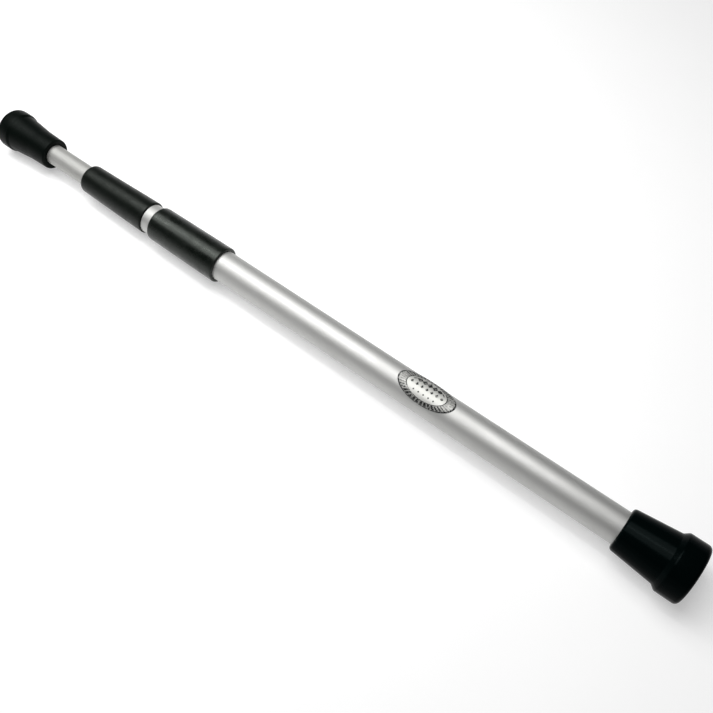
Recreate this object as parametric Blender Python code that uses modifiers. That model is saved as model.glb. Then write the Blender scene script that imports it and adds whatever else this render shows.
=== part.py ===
"""Telescoping doorway pull up bar, modelled at its shortest length, in metres, +Z up.

The bar lies along X. The origin is the centre of the fixed foot's contact face, whose
outward normal is +X, and the bar runs to -X. Turning the outer tube on the fixed foot
turns a lead screw, and the screw's nut drives the inner tube out to -X.

Four bodies move against each other, each with its parts parented to an empty on the axis:
the fixed foot, the turning tube, the sliding tube and the swivel foot. A station is a
distance along the bar from the fixed foot's contact face, so it lies at X = -station.
"""

import math

import bmesh
import bpy
from mathutils import Matrix, Vector

MM = 0.001
FIT = 0.3 * MM  # gap between pieces that touch or are pressed together
RUNNING = 0.4 * MM  # gap round a piece that turns or slides

# --- driving dimensions -------------------------------------------------------
LENGTH = 842 * MM  # contact face to contact face, closed
TUBE_R = 16 * MM
TUBE_WALL = 1.5 * MM
INNER_R = 11.1 * MM
INNER_WALL = 1.5 * MM

# Stations along the bar
TUBE_MOUTH = 621 * MM
OUTER_GRIP = (519 * MM, 610 * MM)
INNER_GRIP = (TUBE_MOUTH + FIT, 713.5 * MM)
BADGE_CENTRE = 268.5 * MM
ANCHOR = (41 * MM, 62 * MM)
NUT = (72 * MM, 108 * MM)
NUT_SEAT = 94 * MM

# Feet
FIXED_FLANGE_R = 28.5 * MM
SWIVEL_FLANGE_R = 22.3 * MM
FIXED_SLEEVE = 67 * MM  # from the contact face to the sleeve's rim
SWIVEL_SLEEVE = 71 * MM
SOLE = 6 * MM  # rubber between the plate and the jamb
PLATE_THICK = 3 * MM
FIXED_PLATE_R = 20 * MM
SWIVEL_PLATE_R = 15.5 * MM
FIXED_BUSH = (22 * MM, 62 * MM)
SWIVEL_BUSH = (24 * MM, 66 * MM)
BUSH_WALL = 1.6 * MM

# Pivots in the feet
STUD_R = 5 * MM
WASHER_THICK = 1.4 * MM
PLUG_FLANGE = 1.3 * MM
PLUG_DEPTH = 20 * MM
RING_THICK = 1 * MM
END_PLAY = 0.5 * MM

# Lead screw; the nut runs the stroke and then meets the stop washer
PITCH = 6 * MM
STROKE = 42 * PITCH
THREAD_TURNS = 45
COLLAR = 1 * MM
CREST_R = 8 * MM
THREAD_DEPTH = 1.8 * MM
CREST_WIDTH = 2.2 * MM
FLANK_RUN = 0.5 * MM
THREAD_PLAY = 0.4 * MM  # along the axis, between the flanks of the screw and the nut
THREAD_ROOM = 0.7 * MM  # across it, between crest and root
SHANK_R = 5.8 * MM
SHANK_START = 43 * MM
STOP_R = 8.8 * MM
STOP_THICK = 2 * MM
STOP_SCREW_R = 2.4 * MM
STOP_SCREW_DEPTH = 13 * MM

# Nut and its guide ring
NUT_R = 14 * MM
GROOVE = (78 * MM, 90 * MM)
GROOVE_R = 12.8 * MM

# Mouth bush, pins and rivets
MOUTH_BUSH = (571 * MM, TUBE_MOUTH - 0.5 * MM)
PIN_R = 2.4 * MM
RIVET_R = 1.9 * MM
BUSH_RIVET = 587 * MM
PLUG_RIVET = 23.5 * MM

# Badge, a thin oval plate bent round the outer tube
BADGE_LENGTH = 61.5 * MM
BADGE_ARC = 30 * MM
BADGE_THICK = 0.7 * MM

# Sides of turned pieces
ROUND = 40
PLAIN = 24
SMALL = 12
THREAD_SIDES = 10

# Stations that follow from the above, the same in both feet
WASHER_AT = SOLE + PLATE_THICK + 2 * FIT
PLUG_AT = WASHER_AT + WASHER_THICK + FIT
RING_AT = PLUG_AT + PLUG_DEPTH + END_PLAY
TUBE_START = PLUG_AT + PLUG_FLANGE + FIT
SCREW_TIP = NUT_SEAT + STROKE + 2 * FIT
THREAD_START = SCREW_TIP - COLLAR
NUT_RIVET = (NUT_SEAT + NUT[1]) / 2

TUBE_BORE = TUBE_R - TUBE_WALL
INNER_BORE = INNER_R - INNER_WALL


# --- scene --------------------------------------------------------------------
for old in list(bpy.data.objects):
    bpy.data.objects.remove(old, do_unlink=True)

parts = bpy.data.collections.new("pull_up_bar")
cutters = bpy.data.collections.new("cutters")
bpy.context.scene.collection.children.link(parts)
bpy.context.scene.collection.children.link(cutters)


def finish(name, colour, metallic, roughness):
    """A Principled material's settings; the colour is linear RGB."""
    return {
        "name": name,
        "colour": colour,
        "metallic": metallic,
        "roughness": roughness,
    }


RUBBER = finish("black_rubber", (0.006, 0.007, 0.007), 0.0, 0.55)
GRIP_RUBBER = finish("black_grip_rubber", (0.012, 0.013, 0.012), 0.0, 0.5)
CHROME = finish("chromed_steel", (0.62, 0.62, 0.61), 1.0, 0.22)
ZINC = finish("zinc_plated_steel", (0.5, 0.5, 0.48), 1.0, 0.38)
OILED_STEEL = finish("oiled_steel", (0.32, 0.31, 0.3), 1.0, 0.35)
NYLON = finish("white_nylon", (0.75, 0.74, 0.7), 0.0, 0.45)
PRINTED = finish("printed_plate", (0.55, 0.56, 0.55), 0.0, 0.35)


# --- helpers ------------------------------------------------------------------
def body_frame(name, station):
    """An empty on the bar's axis that carries one body's parts."""
    empty = bpy.data.objects.new(name, None)
    empty.empty_display_size = 0.03
    empty.location = (-station, 0, 0)
    parts.objects.link(empty)
    return empty


def new_object(name, mesh, collection):
    obj = bpy.data.objects.new(name, mesh)
    collection.objects.link(obj)
    if collection is cutters:
        obj.hide_render = True
        obj.display_type = "WIRE"
    return obj


def turned(name, profile, sides=ROUND, closed=True, collection=parts):
    """A turned piece from (station, radius) points.

    The points start at the least station and run down the outer side to the greatest,
    then back inside. A closed profile makes a ring; an open one starts and ends on the axis.
    """
    count = len(profile)
    points = [(radius, 0, -station) for station, radius in profile]
    edges = [(i, i + 1) for i in range(count - 1)]
    if closed:
        edges.append((count - 1, 0))
    mesh = bpy.data.meshes.new(name)
    mesh.from_pydata(points, edges, [])
    obj = new_object(name, mesh, collection)
    obj.rotation_euler = (0, math.radians(90), 0)
    screw = obj.modifiers.new("turn", "SCREW")
    screw.axis = "Z"
    screw.steps = sides
    screw.render_steps = sides
    screw.use_merge_vertices = True
    screw.merge_threshold = 0.01 * MM
    return obj


def ring(name, span, outer, inner, sides=ROUND, collection=parts):
    """A plain tube, washer or bush between two stations."""
    start, end = span
    profile = [(start, inner), (start, outer), (end, outer), (end, inner)]
    return turned(name, profile, sides, True, collection)


def rod(name, centre, direction, length, radius, sides=SMALL, collection=parts):
    """A cylinder centred on a point, along a direction."""
    mesh = bpy.data.meshes.new(name)
    bm = bmesh.new()
    bmesh.ops.create_cone(
        bm,
        cap_ends=True,
        segments=sides,
        radius1=radius,
        radius2=radius,
        depth=length,
    )
    bm.to_mesh(mesh)
    bm.free()
    obj = new_object(name, mesh, collection)
    obj.location = centre
    obj.rotation_euler = Vector(direction).to_track_quat("Z", "Y").to_euler()
    return obj


def boolean(obj, other, operation="DIFFERENCE"):
    modifier = obj.modifiers.new(other.name, "BOOLEAN")
    modifier.operation = operation
    modifier.solver = "EXACT"
    modifier.object = other


def drill(obj, station, direction, length, radius, offset=0.0, sides=SMALL):
    """Cuts a hole through a part, centred on the axis or offset along the drill."""
    way = Vector(direction)
    centre = Vector((-station, 0, 0)) + way * offset
    cutter = rod(obj.name + "_hole", centre, way, length, radius, sides, cutters)
    boolean(obj, cutter)


def complete(obj, body, look, sharp=35):
    """Applies the modifiers, shades the part smooth, and gives it its body and material."""
    bpy.context.view_layer.update()
    graph = bpy.context.evaluated_depsgraph_get()
    mesh = bpy.data.meshes.new_from_object(obj.evaluated_get(graph))
    mesh.name = obj.name
    obj.modifiers.clear()
    obj.data = mesh
    mesh.shade_smooth()
    mesh.set_sharp_from_angle(angle=math.radians(sharp))

    material = bpy.data.materials.new(obj.name + "_" + look["name"])
    material.use_nodes = True
    shader = material.node_tree.nodes["Principled BSDF"]
    shader.inputs["Base Color"].default_value = (*look["colour"], 1)
    shader.inputs["Metallic"].default_value = look["metallic"]
    shader.inputs["Roughness"].default_value = look["roughness"]
    material.diffuse_color = (*look["colour"], 1)
    mesh.materials.clear()
    mesh.materials.append(material)

    obj.parent = body
    obj.matrix_parent_inverse = Matrix.Translation(body.location).inverted()
    return obj


def arc(station, radius, size, start, end, steps=3):
    """Points on an arc about (station, radius), between two angles in degrees.

    Angle 0 points away from the axis, and 90 points to greater stations.
    """
    points = []
    for i in range(steps + 1):
        angle = math.radians(start + (end - start) * i / steps)
        points.append(
            (station + size * math.sin(angle), radius + size * math.cos(angle))
        )
    return points


def turned_round(profile):
    """The same profile at the far end, its stations counted from the other contact face."""
    return [(LENGTH - station, radius) for station, radius in reversed(profile)]


# --- feet ---------------------------------------------------------------------
def tread(land, grooves):
    """Concentric grooves in a contact face, outside a flat central land."""
    width = 2 * MM
    rib = 3 * MM
    depth = 1.2 * MM
    draft = 0.3 * MM
    points = []
    for i in range(grooves):
        r = land + i * (width + rib)
        points += [(0.0, r), (depth, r + draft)]
        points += [(depth, r + width - draft), (0.0, r + width)]
    return points


def foot_cavity(sleeve, bush, tube_r, plate_r):
    """The inside of a rubber foot, from its rim to the plate's pocket on the axis."""
    throat = tube_r + RUNNING + FIT
    seat = tube_r + RUNNING + BUSH_WALL + FIT
    back = SOLE + PLATE_THICK + 2 * FIT
    return [
        (sleeve, throat),
        (bush[1] + FIT, throat),
        (bush[1] + FIT, seat),
        (bush[0] - FIT, seat),
        (bush[0] - FIT, throat),
        (back, throat),
        (back, plate_r + FIT),
        (SOLE, plate_r + FIT),
        (SOLE, 0.0),
    ]


def fixed_foot_profile():
    """The big foot: a wide flange, a sloping shoulder, and a sleeve that narrows to its rim."""
    land = 9 * MM
    corner = 4 * MM
    back_corner = 2.5 * MM
    flange_end = 22 * MM
    shoulder = (24.6 * MM, 24.9 * MM)
    rim_r = 20.4 * MM
    rim = 3.3 * MM
    points = [(0.0, 0.0)]
    points += tread(land, 2)
    points += arc(corner, FIXED_FLANGE_R - corner, corner, -90, 0, 4)
    back = flange_end - back_corner
    points += arc(back, FIXED_FLANGE_R - back_corner, back_corner, 0, 55, 2)
    points += [shoulder]
    points += arc(FIXED_SLEEVE - rim, rim_r - rim, rim, 0, 90)
    return points + foot_cavity(FIXED_SLEEVE, FIXED_BUSH, TUBE_R, FIXED_PLATE_R)


def swivel_foot_profile():
    """The small foot: a round flange that tapers in two slopes to a slim sleeve."""
    land = 7 * MM
    corner = 5 * MM
    back_corner = 4 * MM
    flange_end = 18.5 * MM
    slopes = [(22 * MM, 20.1 * MM), (36 * MM, 19 * MM), (46 * MM, 17.8 * MM)]
    rim_r = 17.2 * MM
    rim = 2 * MM
    points = [(0.0, 0.0)]
    points += tread(land, 2)
    points += arc(corner, SWIVEL_FLANGE_R - corner, corner, -90, 0)
    back = flange_end - back_corner
    points += arc(back, SWIVEL_FLANGE_R - back_corner, back_corner, 0, 50, 2)
    points += slopes
    points += arc(SWIVEL_SLEEVE - rim, rim_r - rim, rim, 0, 90, 2)
    return points + foot_cavity(SWIVEL_SLEEVE, SWIVEL_BUSH, INNER_R, SWIVEL_PLATE_R)


def stud_plate_profile(plate_r):
    """A round plate with a pivot stud, grooved near its tip for the retaining ring."""
    front = SOLE + FIT
    back = front + PLATE_THICK
    slack = 0.15 * MM
    neck = STUD_R - 0.8 * MM
    tip = RING_AT + RING_THICK + 3 * MM
    chamfer = 0.8 * MM
    return [
        (front, 0.0),
        (front, plate_r - chamfer),
        (front + chamfer, plate_r),
        (back, plate_r),
        (back, STUD_R),
        (RING_AT - slack, STUD_R),
        (RING_AT - slack, neck),
        (RING_AT + RING_THICK + slack, neck),
        (RING_AT + RING_THICK + slack, STUD_R),
        (tip - chamfer, STUD_R),
        (tip, STUD_R - chamfer),
        (tip, 0.0),
    ]


def end_plug_profile(tube_r, wall):
    """A flanged plug that closes a tube's end and turns on the foot's stud."""
    flange_end = PLUG_AT + PLUG_FLANGE
    end = PLUG_AT + PLUG_DEPTH
    body_r = tube_r - wall - FIT
    bore = STUD_R + RUNNING
    chamfer = 1 * MM
    return [
        (PLUG_AT, bore),
        (PLUG_AT, tube_r),
        (flange_end, tube_r),
        (flange_end, body_r),
        (end - chamfer, body_r),
        (end, body_r - chamfer),
        (end, bore),
    ]


def retaining_ring(name, span):
    """A snap ring: flat, with a slot that lets it spring into the stud's groove."""
    outer, inner = STUD_R + 2.2 * MM, STUD_R - 0.5 * MM
    slot_width = 4 * MM
    slot_depth = 6 * MM
    obj = ring(name, span, outer, inner, PLAIN)
    slot = bpy.data.meshes.new(name + "_slot")
    bm = bmesh.new()
    bmesh.ops.create_cube(bm, size=1.0)
    size = (3 * RING_THICK, slot_width, slot_depth)
    bmesh.ops.scale(bm, vec=size, verts=bm.verts)
    bm.to_mesh(slot)
    bm.free()
    cutter = new_object(name + "_slot", slot, cutters)
    cutter.location = (-(span[0] + span[1]) / 2, 0, outer)
    boolean(obj, cutter)
    return obj


def make_foot(prefix, body, rubber, plate_r, bush, tube_r, far=False):
    """The five pieces of one foot; the far foot is the same layout turned round."""

    def at(profile):
        return turned_round(profile) if far else profile

    def span(start, end):
        return (LENGTH - end, LENGTH - start) if far else (start, end)

    bore = tube_r + RUNNING
    washer_r = tube_r - 1 * MM
    sole = turned(prefix + "_rubber", at(rubber), ROUND, closed=False)
    complete(sole, body, RUBBER)
    plate = turned(
        prefix + "_plate", at(stud_plate_profile(plate_r)), PLAIN, closed=False
    )
    complete(plate, body, ZINC)
    washer_span = span(WASHER_AT, WASHER_AT + WASHER_THICK)
    washer = ring(
        prefix + "_thrust_washer",
        washer_span,
        washer_r,
        STUD_R + RUNNING,
        PLAIN,
    )
    complete(washer, body, NYLON)
    snap = retaining_ring(
        prefix + "_retaining_ring", span(RING_AT, RING_AT + RING_THICK)
    )
    complete(snap, body, ZINC)
    liner = ring(prefix + "_bush", span(*bush), bore + BUSH_WALL, bore)
    complete(liner, body, NYLON)


# --- tubes and grips ----------------------------------------------------------
SIDES_Y = {"left": (0, 1, 0), "right": (0, -1, 0)}


def rivet_holes(obj, station):
    drill(obj, station, (0, 1, 0), 3 * TUBE_R, RIVET_R + FIT)


def rivets(prefix, body, station, inner, outer):
    """A pair of rivets, one each side, set radially through a wall."""
    for side, way in SIDES_Y.items():
        centre = Vector((-station, 0, 0)) + Vector(way) * (inner + outer) / 2
        rivet = rod(prefix + "_rivet_" + side, centre, way, outer - inner, RIVET_R)
        complete(rivet, body, ZINC)


def drill_from(obj, station, way, radius):
    """A blind rivet hole, cut inwards from the surface to a radius."""
    depth = TUBE_R
    drill(obj, station, way, depth, RIVET_R + FIT, radius + depth / 2)


def make_outer_tube(body):
    tube = ring("outer_tube", (TUBE_START, TUBE_MOUTH), TUBE_R, TUBE_BORE)
    drill(tube, sum(ANCHOR) / 2, (0, 0, 1), 3 * TUBE_R, PIN_R + FIT)
    rivet_holes(tube, PLUG_RIVET)
    rivet_holes(tube, BUSH_RIVET)
    complete(tube, body, CHROME)


def make_inner_tube(body):
    """The inner tube runs from the nut's seat to the swivel foot."""
    span = (NUT_SEAT + FIT, LENGTH - TUBE_START)
    tube = ring("inner_tube", span, INNER_R, INNER_BORE)
    rivet_holes(tube, NUT_RIVET)
    rivet_holes(tube, LENGTH - PLUG_RIVET)
    complete(tube, body, CHROME)


def make_end_plugs(outer_body, inner_body):
    """Each plug closes its tube and is riveted in, clear of the stud in its bore."""
    outer = turned("end_plug", end_plug_profile(TUBE_R, TUBE_WALL), PLAIN)
    rivet_from = 8 * MM
    for way in SIDES_Y.values():
        drill_from(outer, PLUG_RIVET, way, rivet_from - FIT)
    complete(outer, outer_body, NYLON)
    rivets("end_plug", outer_body, PLUG_RIVET, rivet_from, TUBE_R - FIT)

    profile = turned_round(end_plug_profile(INNER_R, INNER_WALL))
    inner = turned("inner_end_plug", profile, PLAIN)
    rivet_from = 6.8 * MM
    station = LENGTH - PLUG_RIVET
    for way in SIDES_Y.values():
        drill_from(inner, station, way, rivet_from - FIT)
    complete(inner, inner_body, NYLON)
    rivets("inner_end_plug", inner_body, station, rivet_from, INNER_R - FIT)


def make_mouth_bush(body):
    """The nylon bush that the inner tube slides through, just inside the mouth."""
    bush = ring("mouth_bush", MOUTH_BUSH, TUBE_BORE - FIT, INNER_R + RUNNING)
    rivet_holes(bush, BUSH_RIVET)
    complete(bush, body, NYLON)
    rivets("mouth_bush", body, BUSH_RIVET, INNER_R + 2 * RUNNING, TUBE_R - FIT / 2)


def grip_profile(span, bore, radii, rounds):
    """A sleeve whose radius changes from its near end to its far end, with rounded rims."""
    start, end = span
    near_r, far_r = radii
    near_round, far_round = rounds
    points = [(start, bore)]
    points += arc(start + near_round, near_r - near_round, near_round, -90, 0)
    points += arc(end - far_round, far_r - far_round, far_round, 0, 90)
    return points + [(end, bore)]


def make_outer_grip(body):
    radii = (19.4 * MM, 18.6 * MM)
    rounds = (1.6 * MM, 2.2 * MM)
    profile = grip_profile(OUTER_GRIP, TUBE_R + FIT, radii, rounds)
    complete(turned("outer_grip", profile), body, GRIP_RUBBER)


def make_inner_grip(body):
    radii = (17.8 * MM, 15.7 * MM)
    rounds = (1 * MM, 3 * MM)
    profile = grip_profile(INNER_GRIP, INNER_R + FIT, radii, rounds)
    complete(turned("inner_grip", profile), body, GRIP_RUBBER)


def make_badge(body):
    """An oval plate wrapped round the top of the outer tube, from rings of points."""
    rings = 4
    points_round = 36
    bottom = TUBE_R + FIT
    bm = bmesh.new()

    def point(fraction, turn):
        along = fraction * BADGE_LENGTH / 2 * math.cos(turn)
        angle = fraction * BADGE_ARC / 2 * math.sin(turn) / TUBE_R
        x = -BADGE_CENTRE + along
        return bm.verts.new((x, bottom * math.sin(angle), bottom * math.cos(angle)))

    centre = point(0, 0)
    before = []
    for i in range(1, rings + 1):
        loop = [
            point(i / rings, math.tau * j / points_round) for j in range(points_round)
        ]
        for j in range(points_round):
            k = (j + 1) % points_round
            if before:
                bm.faces.new((before[j], loop[j], loop[k], before[k]))
            else:
                bm.faces.new((centre, loop[j], loop[k]))
        before = loop
    bmesh.ops.recalc_face_normals(bm, faces=bm.faces)
    mesh = bpy.data.meshes.new("badge")
    bm.to_mesh(mesh)
    bm.free()
    badge = new_object("badge", mesh, parts)
    shell = badge.modifiers.new("thickness", "SOLIDIFY")
    shell.thickness = BADGE_THICK
    outwards = mesh.polygons[0].normal.z > 0
    shell.offset = 1 if outwards else -1
    complete(badge, body, PRINTED)


# --- lead screw and nut -------------------------------------------------------
def thread_mesh(name, start, turns, room=0.0, play=0.0):
    """A right-hand trapezoidal thread round X, from a start station towards the origin.

    Each step of the helix carries four points: the root before the thread, the two edges
    of the crest, and the root after it. The crest fades to the root over the first and
    the last half turn, so that the thread closes onto a plain collar at each end. Room
    and play widen it across and along the axis, which makes the tap for the nut.
    """
    root = CREST_R - THREAD_DEPTH + room
    crest = CREST_R + room
    half_crest = CREST_WIDTH / 2 + play
    half_base = half_crest + FLANK_RUN
    steps = turns * THREAD_SIDES
    fade = THREAD_SIDES / 2
    bm = bmesh.new()

    def point(along, radius, step):
        angle = math.tau * step / THREAD_SIDES
        x = along - start
        return bm.verts.new((x, radius * math.cos(angle), radius * math.sin(angle)))

    columns = []
    for step in range(steps + 1):
        height = min(1.0, step / fade, (steps - step) / fade)
        top = root + (crest - root) * height
        centre = PITCH * (step / THREAD_SIDES + 0.5)
        columns.append(
            [
                point(centre - half_base, root, step),
                point(centre - half_crest, top, step),
                point(centre + half_crest, top, step),
                point(centre + half_base, root, step),
            ]
        )
    for here, there in zip(columns, columns[1:]):
        for i in range(3):
            bm.faces.new((here[i], here[i + 1], there[i + 1], there[i]))
    for here, there, above, beyond in zip(
        columns, columns[1:], columns[THREAD_SIDES:], columns[THREAD_SIDES + 1 :]
    ):
        bm.faces.new((here[3], above[0], beyond[0], there[3]))

    # The collars: a plain ring at each end, joined to the helix's first and last turn.
    # The face beside the helix's own end also takes that end's points, all on one line.
    length = PITCH * (turns + 1)
    low = [point(-COLLAR, root, step) for step in range(THREAD_SIDES)]
    high = [point(length + COLLAR, root, step) for step in range(THREAD_SIDES)]
    last_turn = columns[-THREAD_SIDES - 1 :]
    for i in range(THREAD_SIDES):
        j = (i + 1) % THREAD_SIDES
        foot = [low[i], columns[i][0], columns[i + 1][0]]
        if j == 0:
            foot += reversed(columns[0])
        bm.faces.new(foot + [low[j]])
        head = [last_turn[i][3]]
        if i == 0:
            head += columns[-1]
        bm.faces.new(head + [high[i], high[j], last_turn[i + 1][3]])
    bm.faces.new(low)
    bm.faces.new(high)
    bmesh.ops.recalc_face_normals(bm, faces=bm.faces)
    mesh = bpy.data.meshes.new(name)
    bm.to_mesh(mesh)
    bm.free()
    return mesh


def make_lead_screw(body):
    """The thread, with a plain shank for the anchor and a tapped tip for the stop."""
    mesh = thread_mesh("lead_screw", THREAD_START, THREAD_TURNS)
    screw = new_object("lead_screw", mesh, parts)
    shank_end = NUT[0] + PITCH
    chamfer = 1 * MM
    shank = turned(
        "lead_screw_shank",
        [
            (SHANK_START, 0.0),
            (SHANK_START, SHANK_R - chamfer),
            (SHANK_START + chamfer, SHANK_R),
            (shank_end, SHANK_R),
            (shank_end, 0.0),
        ],
        PLAIN,
        False,
        cutters,
    )
    boolean(screw, shank, "UNION")
    drill(screw, sum(ANCHOR) / 2, (0, 0, 1), 3 * SHANK_R, PIN_R + FIT)
    drill(screw, SCREW_TIP, (1, 0, 0), 2 * STOP_SCREW_DEPTH, STOP_SCREW_R + FIT)
    complete(screw, body, OILED_STEEL)


def make_stop(body):
    """A washer on the screw's tip that the nut runs up against, and its cap screw."""
    start = SCREW_TIP + FIT
    end = start + STOP_THICK
    washer = ring("stop_washer", (start, end), STOP_R, STOP_SCREW_R + FIT, PLAIN)
    complete(washer, body, ZINC)

    head_r = 4.3 * MM
    head_height = 4 * MM
    seat = end + FIT
    shank = SCREW_TIP - STOP_SCREW_DEPTH + 1 * MM
    chamfer = 0.5 * MM
    screw = turned(
        "stop_screw",
        [
            (shank, 0.0),
            (shank, STOP_SCREW_R - chamfer),
            (shank + chamfer, STOP_SCREW_R),
            (seat, STOP_SCREW_R),
            (seat, head_r),
            (seat + head_height - chamfer, head_r),
            (seat + head_height, head_r - chamfer),
            (seat + head_height, 0.0),
        ],
        PLAIN,
        False,
    )
    socket_r = 2 * MM
    socket_depth = 2.5 * MM
    drill(screw, seat + head_height, (1, 0, 0), 2 * socket_depth, socket_r, sides=6)
    complete(screw, body, ZINC)


def make_anchor(body):
    """The plug that holds the lead screw in the outer tube, and its cross pin."""
    middle = sum(ANCHOR) / 2
    start, end = ANCHOR
    outer = TUBE_BORE - FIT
    chamfer = 0.8 * MM
    anchor = turned(
        "screw_anchor",
        [
            (start, SHANK_R + FIT),
            (start, outer - chamfer),
            (start + chamfer, outer),
            (end - chamfer, outer),
            (end, outer - chamfer),
            (end, SHANK_R + FIT),
        ],
        PLAIN,
    )
    drill(anchor, middle, (0, 0, 1), 3 * TUBE_R, PIN_R + FIT)
    complete(anchor, body, ZINC)
    length = 2 * (TUBE_R - FIT)
    pin = rod("anchor_pin", (-middle, 0, 0), (0, 0, 1), length, PIN_R)
    complete(pin, body, ZINC)


def make_nut(body):
    """The nut: threaded near the origin, a seat for the inner tube at its other end."""
    start, end = NUT
    bore = SHANK_R / 2
    nut = turned(
        "drive_nut",
        [
            (start, bore),
            (start, NUT_R),
            (GROOVE[0], NUT_R),
            (GROOVE[0], GROOVE_R),
            (GROOVE[1], GROOVE_R),
            (GROOVE[1], NUT_R),
            (end, NUT_R),
            (end, INNER_R + FIT),
            (NUT_SEAT, INNER_R + FIT),
            (NUT_SEAT, bore),
        ],
        PLAIN,
    )
    turns = 8
    whole_turns = math.floor((THREAD_START - end) / PITCH)
    tap_start = THREAD_START - whole_turns * PITCH
    mesh = thread_mesh("drive_nut_tap", tap_start, turns, THREAD_ROOM, THREAD_PLAY)
    tap = new_object("drive_nut_tap", mesh, cutters)
    boolean(nut, tap)
    rivet_holes(nut, NUT_RIVET)
    complete(nut, body, ZINC)
    rivets("drive_nut", body, NUT_RIVET, INNER_BORE + FIT, NUT_R - FIT)

    span = (GROOVE[0] + FIT, GROOVE[1] - FIT)
    guide = ring("guide_ring", span, NUT_R + 0.1 * MM, GROOVE_R + FIT, ROUND)
    complete(guide, body, NYLON)


# --- assembly -----------------------------------------------------------------
fixed_foot = body_frame("fixed_foot", 0.0)
turning_tube = body_frame("turning_tube", TUBE_START)
sliding_tube = body_frame("sliding_tube", NUT[0])
swivel_foot = body_frame("swivel_foot", LENGTH)

make_foot(
    "fixed_foot", fixed_foot, fixed_foot_profile(), FIXED_PLATE_R, FIXED_BUSH, TUBE_R
)
make_foot(
    "swivel_foot",
    swivel_foot,
    swivel_foot_profile(),
    SWIVEL_PLATE_R,
    SWIVEL_BUSH,
    INNER_R,
    far=True,
)
make_outer_tube(turning_tube)
make_inner_tube(sliding_tube)
make_end_plugs(turning_tube, sliding_tube)
make_mouth_bush(turning_tube)
make_anchor(turning_tube)
make_lead_screw(turning_tube)
make_stop(turning_tube)
make_nut(sliding_tube)
make_outer_grip(turning_tube)
make_inner_grip(sliding_tube)
make_badge(turning_tube)
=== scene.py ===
"""A telescoping doorway pull up bar at its shortest length, lying on a pale studio floor.

The sections follow the bar as it is put together: the lead screw and its nut, the tubes,
the bearings of white nylon, the badge, the hand grips, the feet, and last the studio.
The bar lies along X, with the middle of the big foot's contact face at the origin.
"""

import math

import bmesh
import bpy
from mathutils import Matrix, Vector, noise


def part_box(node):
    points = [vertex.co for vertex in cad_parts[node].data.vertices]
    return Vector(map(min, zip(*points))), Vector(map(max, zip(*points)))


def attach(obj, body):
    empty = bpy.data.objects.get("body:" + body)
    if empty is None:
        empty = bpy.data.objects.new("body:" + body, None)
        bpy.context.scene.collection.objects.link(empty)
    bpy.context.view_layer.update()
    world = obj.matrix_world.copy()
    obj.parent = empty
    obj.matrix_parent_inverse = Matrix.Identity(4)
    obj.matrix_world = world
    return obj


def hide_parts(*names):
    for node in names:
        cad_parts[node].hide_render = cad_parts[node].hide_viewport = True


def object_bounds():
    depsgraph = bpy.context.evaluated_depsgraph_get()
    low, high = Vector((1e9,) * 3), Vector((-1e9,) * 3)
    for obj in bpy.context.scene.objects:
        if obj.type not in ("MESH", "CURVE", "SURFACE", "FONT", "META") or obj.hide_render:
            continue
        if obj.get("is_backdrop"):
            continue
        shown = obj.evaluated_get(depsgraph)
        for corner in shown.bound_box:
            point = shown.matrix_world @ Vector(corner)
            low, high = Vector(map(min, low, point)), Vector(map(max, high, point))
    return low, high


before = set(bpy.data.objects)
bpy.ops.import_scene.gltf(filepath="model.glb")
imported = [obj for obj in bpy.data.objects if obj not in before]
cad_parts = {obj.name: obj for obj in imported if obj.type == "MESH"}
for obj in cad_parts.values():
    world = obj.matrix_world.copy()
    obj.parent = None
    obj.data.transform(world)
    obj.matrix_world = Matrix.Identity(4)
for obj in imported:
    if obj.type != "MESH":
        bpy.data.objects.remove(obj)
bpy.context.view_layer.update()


# --- Lead screw and its anchor --------------------------------------------------
# A steel bar with a rolled trapezoidal thread, wiped with oil, pinned into a turned
# steel plug that sits inside the outer tube. A cap screw and washer stop the nut.
MM = 0.001

OILED_STEEL = "#8F8B84"
OIL_FILM = "#5E5748"
ZINC_BRIGHT = "#C9C8C2"
ZINC_CLOUDED = "#B3B4B4"

# Nearly all of a noise texture's values lie between these two
NOISE_LOW = 0.3
NOISE_HIGH = 0.7
PATCH_DETAIL = 4
PATCH_ROUGHNESS = 0.6


def linear(colour):
    """A colour written as sRGB hex, as the linear RGBA that Blender's sockets hold."""
    channels = [int(colour[i : i + 2], 16) / 255 for i in (1, 3, 5)]
    return [c / 12.92 if c <= 0.04045 else ((c + 0.055) / 1.055) ** 2.4 for c in channels] + [1]


def node(tree, kind, links=None, values=None, **settings):
    """Adds a node: settings are its properties, values its sockets, links what feeds them."""
    made = tree.nodes.new(kind)
    for key, value in settings.items():
        setattr(made, key, value)
    for socket, value in (values or {}).items():
        made.inputs[socket].default_value = value
    for socket, source in (links or {}).items():
        tree.links.new(source, made.inputs[socket])
    return made


def start_material(name, **sockets):
    """A material whose even values are set on the shader's own sockets."""
    made = bpy.data.materials.new(name)
    made.use_nodes = True
    tree = made.node_tree
    tree.nodes.clear()
    shader = node(tree, "ShaderNodeBsdfPrincipled", values=sockets)
    node(tree, "ShaderNodeOutputMaterial", links={"Surface": shader.outputs["BSDF"]})
    place = node(tree, "ShaderNodeTexCoord").outputs["Object"]
    return made, tree, shader, place


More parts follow.
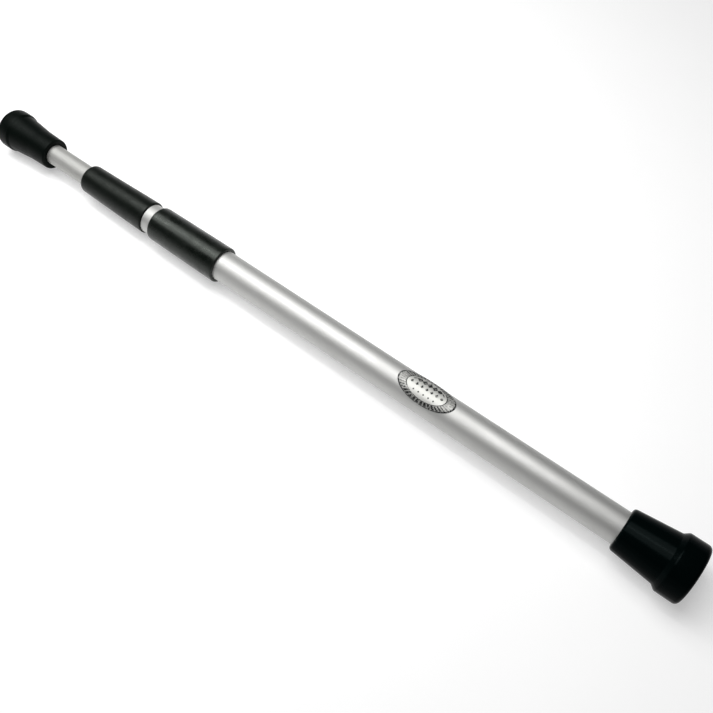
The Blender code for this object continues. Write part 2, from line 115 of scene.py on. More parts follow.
def vary(tree, shader, place, size, colours, roughness, stretch=(1, 1, 1)):
    """Lets colour and roughness drift over patches of a real size, in metres."""
    scaled = node(
        tree,
        "ShaderNodeMapping",
        links={"Vector": place},
        values={"Scale": [1 / size / s for s in stretch]},
    )
    patches = node(
        tree,
        "ShaderNodeTexNoise",
        links={"Vector": scaled.outputs["Vector"]},
        values={"Scale": 1.0, "Detail": PATCH_DETAIL, "Roughness": PATCH_ROUGHNESS},
    )
    mix = node(
        tree,
        "ShaderNodeMix",
        links={0: patches.outputs["Fac"]},
        values={6: linear(colours[0]), 7: linear(colours[1])},
        data_type="RGBA",
    )
    tree.links.new(mix.outputs[2], shader.inputs["Base Color"])
    span = node(
        tree,
        "ShaderNodeMapRange",
        links={"Value": patches.outputs["Fac"]},
        values={
            "From Min": NOISE_LOW,
            "From Max": NOISE_HIGH,
            "To Min": roughness[0],
            "To Max": roughness[1],
        },
    )
    tree.links.new(span.outputs["Result"], shader.inputs["Roughness"])


def grain(tree, shader, place, size, height, stretch=(1, 1, 1), detail=2):
    """Raises a fine surface grain: the size of its bumps and their height, in metres."""
    scaled = node(
        tree,
        "ShaderNodeMapping",
        links={"Vector": place},
        values={"Scale": [1 / size / s for s in stretch]},
    )
    bumps = node(
        tree,
        "ShaderNodeTexNoise",
        links={"Vector": scaled.outputs["Vector"]},
        values={"Scale": 1.0, "Detail": detail},
    )
    bump = node(
        tree,
        "ShaderNodeBump",
        links={"Height": bumps.outputs["Fac"]},
        values={"Strength": 1.0, "Distance": height},
    )
    tree.links.new(bump.outputs["Normal"], shader.inputs["Normal"])


def dress(material, *names):
    """Gives CAD nodes a finish in place of the plain one that they come with."""
    for name in names:
        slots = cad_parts[name].data.materials
        slots.clear()
        slots.append(material)


def oiled_steel():
    """Rolled steel under a film of oil: dark, with the oil pooled in patches."""
    made, tree, shader, place = start_material("oiled_rolled_steel", Metallic=1.0)
    vary(
        tree,
        shader,
        place,
        size=6 * MM,
        colours=(OILED_STEEL, OIL_FILM),
        roughness=(0.22, 0.42),
    )
    # Rolling marks round the bar, drawn at 0.3 mm: the real ones are too fine to show
    grain(tree, shader, place, size=0.3 * MM, height=0.01 * MM, stretch=(1, 8, 8))
    return made


def zinc_plated_steel():
    """Bright zinc plate on turned steel: pale, faintly clouded, with fine tool lines."""
    made, tree, shader, place = start_material("zinc_plated_steel", Metallic=1.0)
    vary(
        tree,
        shader,
        place,
        size=5 * MM,
        colours=(ZINC_BRIGHT, ZINC_CLOUDED),
        roughness=(0.25, 0.4),
    )
    # A turning tool leaves lines about 0.1 mm apart; 0.25 mm is the finest that shows
    grain(tree, shader, place, size=0.25 * MM, height=0.008 * MM, stretch=(1, 12, 12))
    return made


zinc = zinc_plated_steel()
dress(oiled_steel(), "lead_screw")
dress(zinc, "screw_anchor", "anchor_pin", "stop_washer", "stop_screw")


# --- Drive nut -------------------------------------------------------------------
# A turned steel nut that the lead screw pulls along inside the outer tube. It is zinc
# plated and riveted to the inner tube, and a nylon ring keeps it off the tube's bore.
NYLON_IOR = 1.53
NYLON_PALE = "#E9E6DB"
NYLON_YELLOWED = "#DCD7C8"


def natural_nylon():
    """Unfilled nylon as moulded: milky, a little translucent, with a dull satin skin."""
    made, tree, shader, place = start_material(
        "natural_nylon",
        **{"Subsurface Weight": 0.15, "Subsurface Radius": (2 * MM, 1.6 * MM, 1.2 * MM)},
        IOR=NYLON_IOR,
    )
    vary(
        tree,
        shader,
        place,
        size=9 * MM,
        colours=(NYLON_PALE, NYLON_YELLOWED),
        roughness=(0.38, 0.52),
    )
    # The mould's fine skin, drawn at 0.4 mm so that it shows
    grain(tree, shader, place, size=0.4 * MM, height=0.01 * MM)
    return made


nylon = natural_nylon()
dress(zinc, "drive_nut", "drive_nut_rivet_left", "drive_nut_rivet_right")
dress(nylon, "guide_ring")


# --- Outer tube ------------------------------------------------------------------
# Drawn steel tube with a satin chrome plate, belt polished round its girth. That leaves
# fine lines round the tube and spreads each highlight into a soft band along it.
TUBE_SIDES = 160
TUBE_WALL = 1.5 * MM
MOUTH_EDGE = 0.5 * MM
CUT_EDGE = 0.3 * MM
FILLET_STEP = math.radians(12)
SHARP_EDGE = math.radians(40)
ON_AXIS = 0.001 * MM
CHROME_PALE = "#C4C4C2"
CHROME_CLOUDED = "#BDBDBB"


def rounded(corners):
    """An outline from (x, radius, fillet) corners, each fillet a short run of arc points."""
    points = []
    count = len(corners)
    for i, (x, r, size) in enumerate(corners):
        here = Vector((x, r))
        if size <= 0:
            points.append(here)
            continue
        back = (Vector(corners[i - 1][:2]) - here).normalized()
        ahead = (Vector(corners[(i + 1) % count][:2]) - here).normalized()
        half = back.angle(ahead) / 2
        run = size / math.tan(half)
        middle = here + (back + ahead).normalized() * (size / math.sin(half))
        first = here + back * run - middle
        turn = (here + ahead * run - middle).angle_signed(first)
        steps = max(2, round(abs(turn) / FILLET_STEP))
        for step in range(steps + 1):
            angle = turn * step / steps
            cos, sin = math.cos(angle), math.sin(angle)
            points.append(
                middle + Vector((first.x * cos - first.y * sin, first.x * sin + first.y * cos))
            )
    return points


def lathe(name, outline, body, node_name, material, shape=None):
    """Turns a closed outline of (x, radius) points round the bar's axis.

    The piece rides on its body and stands for its CAD node. Shape, if given, moves each
    point: it takes the x, the angle and the radius, and gives back the radius.
    """
    bm = bmesh.new()
    rings = []
    for x, r in outline:
        if r < ON_AXIS:
            rings.append([bm.verts.new((x, 0, 0))] * TUBE_SIDES)
            continue
        ring = []
        for side in range(TUBE_SIDES):
            angle = math.tau * side / TUBE_SIDES
            radius = shape(x, angle, r) if shape else r
            ring.append(bm.verts.new((x, -radius * math.sin(angle), radius * math.cos(angle))))
        rings.append(ring)
    pairs = list(zip(rings, rings[1:]))
    if outline[0][1] > ON_AXIS:
        pairs.append((rings[-1], rings[0]))
    for here, there in pairs:
        for side in range(TUBE_SIDES):
            after = (side + 1) % TUBE_SIDES
            corners = [here[side], there[side], there[after], here[after]]
            bm.faces.new(list(dict.fromkeys(corners)))
    bmesh.ops.recalc_face_normals(bm, faces=bm.faces)
    mesh = bpy.data.meshes.new(name)
    bm.to_mesh(mesh)
    bm.free()
    mesh.shade_smooth()
    mesh.set_sharp_from_angle(angle=SHARP_EDGE)
    mesh.materials.append(material)
    piece = bpy.data.objects.new(name, mesh)
    bpy.context.scene.collection.objects.link(piece)
    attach(piece, body)
    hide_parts(node_name)


def satin_chrome():
    """Satin chrome plate: a pale grey metal whose polishing lines run round the tube."""
    made, tree, shader, place = start_material("satin_chrome_plate", Metallic=1.0)
    vary(
        tree,
        shader,
        place,
        size=14 * MM,
        colours=(CHROME_PALE, CHROME_CLOUDED),
        roughness=(0.57, 0.63),
        stretch=(3, 1, 1),
    )
    # Real polishing lines are about 0.05 mm apart; 0.4 mm is the finest that shows
    grain(
        tree, shader, place, size=0.4 * MM, height=0.007 * MM, stretch=(1, 40, 40), detail=3
    )
    return made


low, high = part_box("outer_tube")
tube_r = high.z
tube_bore = tube_r - TUBE_WALL
lathe(
    "outer_tube_chromed",
    rounded(
        [
            (high.x, tube_r, CUT_EDGE),
            (low.x, tube_r, MOUTH_EDGE),
            (low.x, tube_bore, CUT_EDGE),
            (high.x, tube_bore, 0.0),
        ]
    ),
    "turning_tube",
    "outer_tube",
    satin_chrome(),
)


# --- Inner tube ------------------------------------------------------------------
# The thinner tube that slides out of the first. It is the same chromed steel, but it
# rubs in the mouth bush, so its plate is duller, with faint lines along its length.
RUBBED_PALE = "#BDBDBA"
RUBBED_DULL = "#B1B1AE"


def rubbed_chrome():
    """Chrome plate dulled by sliding: a greyer metal with streaks along the tube."""
    made, tree, shader, place = start_material("rubbed_chrome_plate", Metallic=1.0)
    vary(
        tree,
        shader,
        place,
        size=3 * MM,
        colours=(RUBBED_PALE, RUBBED_DULL),
        roughness=(0.62, 0.68),
        stretch=(14, 1, 1),
    )
    # Real rub marks are hair thin; 0.4 mm is the finest that shows
    grain(
        tree, shader, place, size=0.4 * MM, height=0.01 * MM, stretch=(60, 1, 1), detail=3
    )
    return made


low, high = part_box("inner_tube")
inner_r = high.z
inner_bore = inner_r - TUBE_WALL
lathe(
    "inner_tube_chromed",
    rounded(
        [
            (high.x, inner_r, CUT_EDGE),
            (low.x, inner_r, CUT_EDGE),
            (low.x, inner_bore, 0.0),
            (high.x, inner_bore, 0.0),
        ]
    ),
    "sliding_tube",
    "inner_tube",
    rubbed_chrome(),
)


# --- Bearings --------------------------------------------------------------------
# White nylon plugs, washers and bushes, moulded and left as they come. Zinc plated
# rivets hold them in the tubes, so that the tubes turn and slide on plastic.
dress(
    nylon,
    "mouth_bush",
    "end_plug",
    "inner_end_plug",
    "fixed_foot_bush",
    "fixed_foot_thrust_washer",
    "swivel_foot_bush",
    "swivel_foot_thrust_washer",
)
for part in ("mouth_bush", "end_plug", "inner_end_plug"):
    dress(zinc, part + "_rivet_left", part + "_rivet_right")


# --- Badge -----------------------------------------------------------------------
# An oval foil label pressed round the top of the outer tube. A border of plain ticks
# stands between two dark rims, round rows of lozenges that grow towards one side.
BADGE_ARC = 30 * MM
BADGE_LIFT = 0.12 * MM
BADGE_RINGS = 14
BADGE_SIDES = 120
BADGE_SHARP_EDGE = math.radians(50)
# The label is flat out to this share of its half width, then rolls down to the tube
BADGE_FLAT = 0.94
BADGE_ROLL_STEPS = 4

BARE_FOIL = "#C0C0BC"
THIN_INK = "#969693"
INK = "#1C1D1E"
# Shares of the oval's half width, out from its middle
LOZENGES_END = 0.6
INNER_RIM = 0.67
BORDER_START = 0.7
OUTER_RIM = 0.94
TICKS_MIDDLE = 0.82
TICKS_HALF_LENGTH = 0.11
TICKS = 40
# How far across the oval, then half the gap between two ticks as a share of their step:
# the gaps are wide at the oval's ends and narrow above and below
GAP_AT_ENDS = (0.2, 0.44)
GAP_ACROSS = (0.7, 0.16)
LOZENGE_STEP = 5.4 * MM
# How far across the oval, then half a lozenge's width as a share of their step
SMALL_LOZENGE = (-0.2, 0.18)
LARGE_LOZENGE = (0.45, 0.58)
WEAR_SPOT = 1.6 * MM
# The noise value at which a spot starts to show, and that at which it is worn most
WEAR_START = 0.5
WEAR_FULL = 0.68
WEAR_MOST = 0.75

low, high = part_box("badge")
badge_middle = (low.x + high.x) / 2
badge_half = (high.x - low.x) / 2
badge_top = high.z


def printed_foil():
    """Foil printed with plain shapes, under clear lacquer: pale, with a dark worn border."""
    made, tree, shader, place = start_material(
        "printed_foil_label",
        **{"Coat Weight": 0.25, "Coat Roughness": 0.25, "Metallic": 0.8, "Roughness": 0.6},
    )
    apart = node(tree, "ShaderNodeSeparateXYZ", links={"Vector": place}).outputs
    # Lay the curved label flat, then scale its oval to a circle of radius 1
    round_tube = node(
        tree, "ShaderNodeMath", links={0: apart["Y"], 1: apart["Z"]}, operation="ARCTAN2"
    )
    flat = node(
        tree, "ShaderNodeCombineXYZ", links={"X": apart["X"], "Y": round_tube.outputs[0]}
    ).outputs[0]
    oval = node(
        tree,
        "ShaderNodeMapping",
        links={"Vector": flat},
        values={
            "Location": (-badge_middle / badge_half, 0, 0),
            "Scale": (1 / badge_half, 2 * tube_r / BADGE_ARC, 0),
        },
    ).outputs[0]
    out = node(
        tree, "ShaderNodeVectorMath", links={0: oval}, operation="LENGTH"
    ).outputs["Value"]
    zones = node(tree, "ShaderNodeValToRGB", links={0: out})
    zones.color_ramp.interpolation = "CONSTANT"
    zones.color_ramp.elements[0].color = linear(BARE_FOIL)
    zones.color_ramp.elements[1].color = linear(INK)
    for start, colour in ((INNER_RIM, INK), (BORDER_START, THIN_INK), (OUTER_RIM, INK)):
        zones.color_ramp.elements.new(start).color = linear(colour)
    # Ticks stand across the border at even steps, each step folded in half at its tick
    ticks = node(tree, "ShaderNodeTexGradient", links={"Vector": oval}, gradient_type="RADIAL")
    ticks = node(
        tree,
        "ShaderNodeMath",
        links={0: ticks.outputs["Fac"]},
        values={1: TICKS},
        operation="MULTIPLY",
    )
    ticks = node(
        tree,
        "ShaderNodeMath",
        links={0: ticks.outputs[0]},
        values={1: 0.5},
        operation="PINGPONG",
    )
    across = node(tree, "ShaderNodeSeparateXYZ", links={"Vector": oval}).outputs["Y"]
    height = node(tree, "ShaderNodeMath", links={0: across}, operation="ABSOLUTE")
    gap = node(
        tree,
        "ShaderNodeMapRange",
        links={"Value": height.outputs[0]},
        values={
            "From Min": GAP_AT_ENDS[0],
            "From Max": GAP_ACROSS[0],
            "To Min": GAP_AT_ENDS[1],
            "To Max": GAP_ACROSS[1],
        },
    )
    ticks = node(
        tree,
        "ShaderNodeMath",
        links={0: ticks.outputs[0], 1: gap.outputs["Result"]},
        operation="GREATER_THAN",
    )
    border = node(
        tree,
        "ShaderNodeMath",
        links={0: out},
        values={1: TICKS_MIDDLE, 2: TICKS_HALF_LENGTH},
        operation="COMPARE",
    )
    ticks = node(
        tree,
        "ShaderNodeMath",
        links={0: ticks.outputs[0], 1: border.outputs[0]},
        operation="MULTIPLY",
    )
    # Lozenges at even steps both ways fill the middle
    grid = node(
        tree,
        "ShaderNodeMapping",
        links={"Vector": flat},
        values={
            "Location": (-badge_middle / LOZENGE_STEP, 0, 0),
            "Scale": (1 / LOZENGE_STEP, tube_r / LOZENGE_STEP, 0),
        },
    )
    lozenges = node(
        tree,
        "ShaderNodeTexVoronoi",
        links={"Vector": grid.outputs[0]},
        values={"Scale": 1.0, "Randomness": 0.0},
        distance="MANHATTAN",
    )
    size = node(
        tree,
        "ShaderNodeMapRange",
        links={"Value": across},
        values={
            "From Min": SMALL_LOZENGE[0],
            "From Max": LARGE_LOZENGE[0],
            "To Min": SMALL_LOZENGE[1],
            "To Max": LARGE_LOZENGE[1],
        },
    )
    lozenges = node(
        tree,
        "ShaderNodeMath",
        links={0: lozenges.outputs["Distance"], 1: size.outputs["Result"]},
        operation="LESS_THAN",
    )
    middle = node(
        tree, "ShaderNodeMath", links={0: out}, values={1: LOZENGES_END}, operation="LESS_THAN"
    )
    lozenges = node(
        tree,
        "ShaderNodeMath",
        links={0: lozenges.outputs[0], 1: middle.outputs[0]},
        operation="MULTIPLY",
    )
    ink = node(
        tree,
        "ShaderNodeMath",
        links={0: ticks.outputs[0], 1: lozenges.outputs[0]},
        operation="MAXIMUM",
    )
    colour = node(
        tree,
        "ShaderNodeMix",
        links={0: ink.outputs[0], 6: zones.outputs["Color"]},
        values={7: linear(INK)},
        data_type="RGBA",
    )
    # Handling rubs the print through in small spots
    wear = node(
        tree,
        "ShaderNodeTexNoise",
        links={"Vector": place},
        values={"Scale": 1 / WEAR_SPOT, "Detail": 3},
    )
    wear = node(
        tree,
        "ShaderNodeMapRange",
        links={"Value": wear.outputs["Fac"]},
        values={
            "From Min": WEAR_START,
            "From Max": WEAR_FULL,
            "To Min": 0.0,
            "To Max": WEAR_MOST,
        },
    )
    colour = node(
        tree,
        "ShaderNodeMix",
        links={0: wear.outputs["Result"], 6: colour.outputs[2]},
        values={7: linear(BARE_FOIL)},
        data_type="RGBA",
    )
    tree.links.new(colour.outputs[2], shader.inputs["Base Color"])
    # Rolled foil's own lines, drawn at 0.25 mm: the real ones are too fine to show
    grain(tree, shader, place, size=0.25 * MM, height=0.004 * MM, stretch=(30, 1, 1))
    return made


def make_badge():
    """Rings of points out from the middle, with the last rings rolled down to the tube."""
    thick = badge_top - tube_r - BADGE_LIFT
    roll = 1 - BADGE_FLAT
    bm = bmesh.new()

    def point(share, side):
        turn = math.tau * side / BADGE_SIDES
        x = badge_middle + share * badge_half * math.cos(turn)
        angle = share * BADGE_ARC / 2 * math.sin(turn) / tube_r
        edge = max(0.0, (share - BADGE_FLAT) / roll)
        radius = tube_r + BADGE_LIFT + thick * math.sqrt(max(0.0, 1 - edge**2))
        return bm.verts.new((x, radius * math.sin(angle), radius * math.cos(angle)))

    shares = [i / BADGE_RINGS * BADGE_FLAT for i in range(1, BADGE_RINGS + 1)]
    for step in range(1, BADGE_ROLL_STEPS + 1):
        shares.append(BADGE_FLAT + roll * math.sin(math.pi / 2 * step / BADGE_ROLL_STEPS))
    middle = point(0, 0)
    before = None
    for share in shares:
        loop = [point(share, side) for side in range(BADGE_SIDES)]
        for side in range(BADGE_SIDES):
            after = (side + 1) % BADGE_SIDES
            if before:
                bm.faces.new((before[side], loop[side], loop[after], before[after]))
            else:
                bm.faces.new((middle, loop[side], loop[after]))
        before = loop
    # The last ring drops straight to the tube, so that the label's edge is closed
    under = []
    for rim in before:
        sink = tube_r / rim.co.yz.length
        under.append(bm.verts.new((rim.co.x, rim.co.y * sink, rim.co.z * sink)))
    for side in range(BADGE_SIDES):
        after = (side + 1) % BADGE_SIDES
        bm.faces.new((before[side], under[side], under[after], before[after]))
    bmesh.ops.recalc_face_normals(bm, faces=bm.faces)
    mesh = bpy.data.meshes.new("badge_label")
    bm.to_mesh(mesh)
    bm.free()
    mesh.shade_smooth()
    mesh.set_sharp_from_angle(angle=BADGE_SHARP_EDGE)
    mesh.materials.append(printed_foil())
    badge = bpy.data.objects.new("badge_label", mesh)
    bpy.context.scene.collection.objects.link(badge)
    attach(badge, "turning_tube")
    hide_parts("badge")


make_badge()


# --- Hand grips ------------------------------------------------------------------
# Two moulded sleeves of soft black rubber, pushed onto the tubes with soapy water. They
# are smooth, with rounded rims, and the inner one tapers towards the thin tube's end.
GRIP_FIT = 0.15 * MM
GRIP_BORE_EDGE = 0.4 * MM
# Each pair is the end towards the big foot, then the end towards the small foot
OUTER_GRIP_RADII = (19.3 * MM, 18.5 * MM)
OUTER_GRIP_RIMS = (1.6 * MM, 2.2 * MM)
INNER_GRIP_RADII = (17.7 * MM, 15.6 * MM)
INNER_GRIP_RIMS = (1.0 * MM, 3.0 * MM)
# How far a sleeve is out of round, in slow waves: so many to a metre, so many round it
WANDER = 0.12 * MM
WAVES_TO_A_METRE = 30
WAVES_ROUND = 1.5
GRIP_STEP = 4 * MM
RUBBER_IOR = 1.52
GRIP_BLACK = "#070B08"
GRIP_BLACKER = "#050906"
GRIP_SHEEN = "#F6FFF6"


def grip_rubber(name, roughness, gloss):
    """Moulded rubber polished in patches by hands: a broad, uneven, faintly green sheen."""
    sheen = {"Specular IOR Level": gloss, "Specular Tint": linear(GRIP_SHEEN)}
    made, tree, shader, place = start_material(name, IOR=RUBBER_IOR, **sheen)
    vary(
        tree,
        shader,
        place,
        size=11 * MM,
        colours=(GRIP_BLACK, GRIP_BLACKER),
        roughness=roughness,
    )
    # The skin's real grain is about 0.2 mm; it is drawn at 0.9 mm so that it shows
    grain(tree, shader, place, size=0.9 * MM, height=0.045 * MM, detail=3)
    return made


def hand_moulded(x, angle, radius):
    """Soft sleeves are never quite round: a slow wander of a tenth of a millimetre."""
    across, up = math.cos(angle) * WAVES_ROUND, math.sin(angle) * WAVES_ROUND
    return radius + WANDER * noise.noise(Vector((x * WAVES_TO_A_METRE, across, up)))


def even_steps(outline):
    """Breaks long runs of an outline into short ones, so that the surface can wander."""
    points = []
    for here, there in zip(outline, outline[1:] + outline[:1]):
        steps = max(1, math.ceil((there - here).length / GRIP_STEP))
        points += [here.lerp(there, step / steps) for step in range(steps)]
    return points


def grip(name, node_name, body, bore, radii, rims, material):
    """A sleeve as long as its CAD node, with a rounded rim at each end."""
    low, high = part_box(node_name)
    outline = rounded(
        [
            (high.x, radii[0], rims[0]),
            (low.x, radii[1], rims[1]),
            (low.x, bore, GRIP_BORE_EDGE),
            (high.x, bore, GRIP_BORE_EDGE),
        ]
    )
    lathe(
        name, even_steps(outline), body, node_name, material, shape=hand_moulded
    )


grip(
    "outer_grip_sleeve",
    "outer_grip",
    "turning_tube",
    tube_r + GRIP_FIT,
    OUTER_GRIP_RADII,
    OUTER_GRIP_RIMS,
    grip_rubber("smooth_grip_rubber", roughness=(0.22, 0.4), gloss=0.31),
)
grip(
    "inner_grip_sleeve",
    "inner_grip",
    "sliding_tube",
    inner_r + GRIP_FIT,
    INNER_GRIP_RADII,
    INNER_GRIP_RIMS,
    grip_rubber("dull_grip_rubber", roughness=(0.3, 0.46), gloss=0.175),
)


# --- Feet ------------------------------------------------------------------------
# Each foot is a thick black rubber cup moulded round a zinc plated steel plate, whose
# stud goes into the tube's end plug. A snap ring on the stud keeps the foot on.
FOOT_BORE_FIT = 0.6 * MM
SEAT_FIT = 0.2 * MM
PLATE_POCKET = 3.6 * MM
PARTING_HEIGHT = 0.12 * MM
PARTING_WIDTH = math.radians(1.6)
TREAD_RINGS = 2
TREAD_PITCH = 5 * MM
TREAD_GROOVE = 2 * MM
TREAD_DEPTH = 1.2 * MM
TREAD_DRAFT = 0.3 * MM
TREAD_EDGE = 0.3 * MM
# The outside of each foot: distance in from its contact face, radius, rounding
FIXED_FOOT_OUTSIDE = [
    (0.0, 28.35 * MM, 4 * MM),
    (20.3 * MM, 28.35 * MM, 2.5 * MM),
    (24.8 * MM, 24.8 * MM, 1.5 * MM),
    (67 * MM, 20.3 * MM, 3.2 * MM),
]
SWIVEL_FOOT_OUTSIDE = [
    (0.0, 22.15 * MM, 5 * MM),
    (16.4 * MM, 22.15 * MM, 3 * MM),
    (18.5 * MM, 20.6 * MM, 3 * MM),
    (36 * MM, 18.9 * MM, 12 * MM),
    (46 * MM, 17.8 * MM, 12 * MM),
    (71 * MM, 17.1 * MM, 2 * MM),
]
FIXED_FOOT_LAND = 9 * MM
SWIVEL_FOOT_LAND = 7 * MM


def moulded_rubber(name, colours, roughness, gloss, tint):
    """Rubber straight from a spark eroded mould: near black, with a fine dull texture."""
    sheen = {"Specular IOR Level": gloss, "Specular Tint": linear(tint)}
    made, tree, shader, place = start_material(name, IOR=RUBBER_IOR, **sheen)
    vary(tree, shader, place, size=7 * MM, colours=colours, roughness=roughness)
    # A spark eroded skin has pits of about 0.1 mm; they are drawn at 0.5 mm so they show
    grain(tree, shader, place, size=0.5 * MM, height=0.03 * MM)
    return made


def parting_line(x, angle, radius):
    """The mould's two halves leave a thin raised line down each side."""
    from_side = math.asin(min(1.0, abs(math.cos(angle))))
    return radius + PARTING_HEIGHT * math.exp(-((from_side / PARTING_WIDTH) ** 2))


def tread(face, way, land):
    """Round grooves in a contact face, outside a flat land in the middle."""
    corners = []
    bottom = face + way * TREAD_DEPTH
    for ring in range(TREAD_RINGS):
        r = land + ring * TREAD_PITCH
        corners += [
            (face, r, TREAD_EDGE),
            (bottom, r + TREAD_DRAFT, TREAD_EDGE),
            (bottom, r + TREAD_GROOVE - TREAD_DRAFT, TREAD_EDGE),
            (face, r + TREAD_GROOVE, TREAD_EDGE),
        ]
    return corners


def foot(name, prefix, outside, land, way, bore, material):
    """A foot from its outside, with room inside for its steel plate and nylon bush.

    Way is -1 for the foot whose contact face looks along +X, and 1 for the other.
    """
    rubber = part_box(prefix + "_rubber")
    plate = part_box(prefix + "_plate")
    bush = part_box(prefix + "_bush")
    face = rubber[1].x if way < 0 else rubber[0].x
    plate_face = plate[1].x if way < 0 else plate[0].x
    pocket = plate[1].z + SEAT_FIT
    sole = abs(plate_face - face) - SEAT_FIT
    seat = bush[1].z + SEAT_FIT
    bush_near = min(abs(c.x - face) for c in bush) - SEAT_FIT
    bush_far = max(abs(c.x - face) for c in bush) + SEAT_FIT
    deep = outside[-1][0]
    inside = [
        (deep, bore, 0.0),
        (bush_far, bore, 0.0),
        (bush_far, seat, 0.0),
        (bush_near, seat, 0.0),
        (bush_near, bore, 0.0),
        (sole + PLATE_POCKET, bore, 0.0),
        (sole + PLATE_POCKET, pocket, 0.0),
        (sole, pocket, 0.0),
        (sole, 0.0, 0.0),
    ]
    corners = [(face, 0.0, 0.0)] + tread(face, way, land)
    corners += [(face + way * station, r, fillet) for station, r, fillet in outside + inside]
    lathe(
        name,
        rounded(corners),
        prefix,
        prefix + "_rubber",
        material,
        shape=parting_line,
    )


foot(
    "fixed_foot_cup",
    "fixed_foot",
    FIXED_FOOT_OUTSIDE,
    FIXED_FOOT_LAND,
    -1,
    tube_r + FOOT_BORE_FIT,
    moulded_rubber(
        "moulded_foot_rubber",
        colours=("#020707", "#010505"),
        roughness=(0.16, 0.22),
        gloss=0.02,
        tint="#E6FFFF",
    ),
)
foot(
    "swivel_foot_cup",
    "swivel_foot",
    SWIVEL_FOOT_OUTSIDE,
    SWIVEL_FOOT_LAND,
    1,
    inner_r + FOOT_BORE_FIT,
    moulded_rubber(
        "aged_foot_rubber",
        colours=("#060A08", "#040806"),
        roughness=(0.37, 0.43),
        gloss=0.052,
        tint="#F4FFFA",
    ),
)
dress(zinc, "fixed_foot_plate", "fixed_foot_retaining_ring")
dress(zinc, "swivel_foot_plate", "swivel_foot_retaining_ring")


# --- Studio ----------------------------------------------------------------------
# A pale seamless floor that both flanges stand on, curving up far off into a low wall.
# A wide softbox overhead, and a narrow strip under it, draw the bright band along the
# tubes, in a dim even room that keeps their sides grey.
FIXED_FLANGE_R = 28.5 * MM
SWIVEL_FLANGE_R = 22.3 * MM
FLANGE_MIDDLE = 11 * MM
FLOOR_INNER_RINGS = (0.1, 1.0, 4.0)
FLOOR_REACH = 8.0
COVE = 1.6
COVE_STEPS = 12
WALL_TOP = 2.7
FLOOR_SIDES = 96
FLOOR_GLOW = 0.44
BOARD_PALE = "#CDCDCD"
BOARD_GREY = "#C9C9C9"
ROOM_COLOUR = "#F4F5F6"
ROOM = 0.08
SOFTBOX = (1.5, 0.92)
SOFTBOX_PLACE = (-0.87, 0.02, 0.95)
SOFTBOX_RADIANCE = 3.8
STRIP = (1.5, 0.05)
STRIP_PLACE = (-0.87, 0.02, 0.94)
STRIP_RADIANCE = 12.0


def painted_board():
    """Matt painted board, almost white. Its glow is for the eye and for mirrors only."""
    made, tree, shader, place = start_material(
        "matt_painted_board",
        **{"Specular IOR Level": 0.1, "Emission Color": linear("#FFFFFF")},
    )
    vary(
        tree,
        shader,
        place,
        size=80 * MM,
        colours=(BOARD_PALE, BOARD_GREY),
        roughness=(0.85, 0.95),
    )
    seen = node(tree, "ShaderNodeLightPath").outputs
    glow = node(
        tree,
        "ShaderNodeMath",
        links={0: seen["Is Camera Ray"], 1: seen["Is Glossy Ray"]},
        operation="MAXIMUM",
    )
    glow = node(
        tree,
        "ShaderNodeMath",
        links={0: glow.outputs[0], 1: seen["Is Transmission Ray"]},
        operation="MAXIMUM",
    )
    glow = node(
        tree,
        "ShaderNodeMath",
        links={0: glow.outputs[0]},
        values={1: FLOOR_GLOW},
        operation="MULTIPLY",
    )
    tree.links.new(glow.outputs[0], shader.inputs["Emission Strength"])
    return made


def seamless_floor():
    """A round floor whose rim curves up into the wall."""
    outline = [(reach, 0.0) for reach in FLOOR_INNER_RINGS]
    for step in range(COVE_STEPS + 1):
        angle = math.pi / 2 * step / COVE_STEPS
        outline.append((FLOOR_REACH + COVE * math.sin(angle), COVE * (1 - math.cos(angle))))
    outline.append((FLOOR_REACH + COVE, WALL_TOP))
    bm = bmesh.new()
    before = [bm.verts.new((0, 0, 0))] * FLOOR_SIDES
    for reach, rise in outline:
        ring = []
        for side in range(FLOOR_SIDES):
            angle = math.tau * side / FLOOR_SIDES
            ring.append(bm.verts.new((reach * math.cos(angle), reach * math.sin(angle), rise)))
        for side in range(FLOOR_SIDES):
            after = (side + 1) % FLOOR_SIDES
            corners = [before[side], ring[side], ring[after], before[after]]
            bm.faces.new(list(dict.fromkeys(corners)))
        before = ring
    mesh = bpy.data.meshes.new("floor")
    bm.to_mesh(mesh)
    bm.free()
    mesh.shade_smooth()
    mesh.materials.append(painted_board())
    made = bpy.data.objects.new("floor", mesh)
    bpy.context.scene.collection.objects.link(made)
    return made


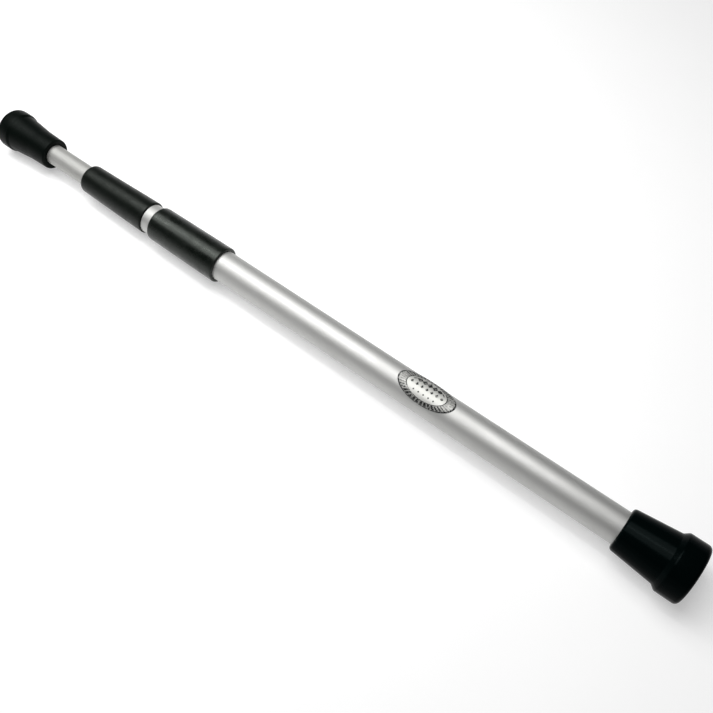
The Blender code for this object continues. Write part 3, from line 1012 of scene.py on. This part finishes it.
# Both flanges rest on the floor, so it slopes up a little towards the smaller one
fixed_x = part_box("fixed_foot_rubber")[1].x - FLANGE_MIDDLE
swivel_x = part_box("swivel_foot_rubber")[0].x + FLANGE_MIDDLE
floor = seamless_floor()
slope = math.atan2(FIXED_FLANGE_R - SWIVEL_FLANGE_R, fixed_x - swivel_x)
floor.rotation_euler = (0, slope, 0)
floor.location = (fixed_x, 0, -FIXED_FLANGE_R)
floor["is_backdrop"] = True

world = bpy.data.worlds.new("dim_room")
bpy.context.scene.world = world
world.use_nodes = True
shade = world.node_tree.nodes["Background"]
shade.inputs["Color"].default_value = linear(ROOM_COLOUR)
shade.inputs["Strength"].default_value = ROOM


def softbox(name, place, size, radiance):
    """A rectangular lamp that faces straight down, of an even brightness."""
    lamp = bpy.data.lights.new(name, "AREA")
    lamp.shape = "RECTANGLE"
    lamp.size, lamp.size_y = size
    lamp.energy = radiance * math.pi * size[0] * size[1]
    made = bpy.data.objects.new(name, lamp)
    bpy.context.scene.collection.objects.link(made)
    made.location = place


softbox("overhead_softbox", SOFTBOX_PLACE, SOFTBOX, SOFTBOX_RADIANCE)
softbox("overhead_strip", STRIP_PLACE, STRIP, STRIP_RADIANCE)

# The camera looks down on the bar from beside the big foot, aimed a little off its axis.
# Its sensor width and lens are in millimetres, and its near and far limits in metres.
CAMERA_DISTANCE = 746 * MM
CAMERA_STATION = -97.3 * MM
ROUND_THE_BAR = math.radians(64.33)
LEAN = math.radians(18.5)
AIM_OFF = 2.37 * MM
AIM_OFF_RIGHT = -0.551
AIM_OFF_UP = -0.834
ROLL = math.radians(-0.165)
SENSOR = 36.0
LENS = 41.9074
SIGHT = (0.01, 100.0)
out = Vector((0, -math.cos(ROUND_THE_BAR), math.sin(ROUND_THE_BAR)))
eye = Vector((CAMERA_STATION, 0, 0)) + out * CAMERA_DISTANCE
ahead = -out * math.cos(LEAN) - Vector((1, 0, 0)) * math.sin(LEAN)
right = ahead.cross(Vector((0, 0, 1))).normalized()
up = right.cross(ahead)
target = eye + ahead * (CAMERA_DISTANCE / math.cos(LEAN))
target += AIM_OFF * (AIM_OFF_RIGHT * right + AIM_OFF_UP * up)
camera = bpy.data.objects.new("camera", bpy.data.cameras.new("camera"))
bpy.context.scene.collection.objects.link(camera)
camera.data.sensor_width = SENSOR
camera.data.lens = LENS
camera.location = eye
camera.rotation_euler = (target - eye).to_track_quat("-Z", "Y").to_euler()
camera.rotation_euler.rotate_axis("Z", ROLL)
camera.data.clip_start, camera.data.clip_end = SIGHT
bpy.context.scene.camera = camera
bpy.context.scene.view_settings.view_transform = "Standard"

low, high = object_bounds()
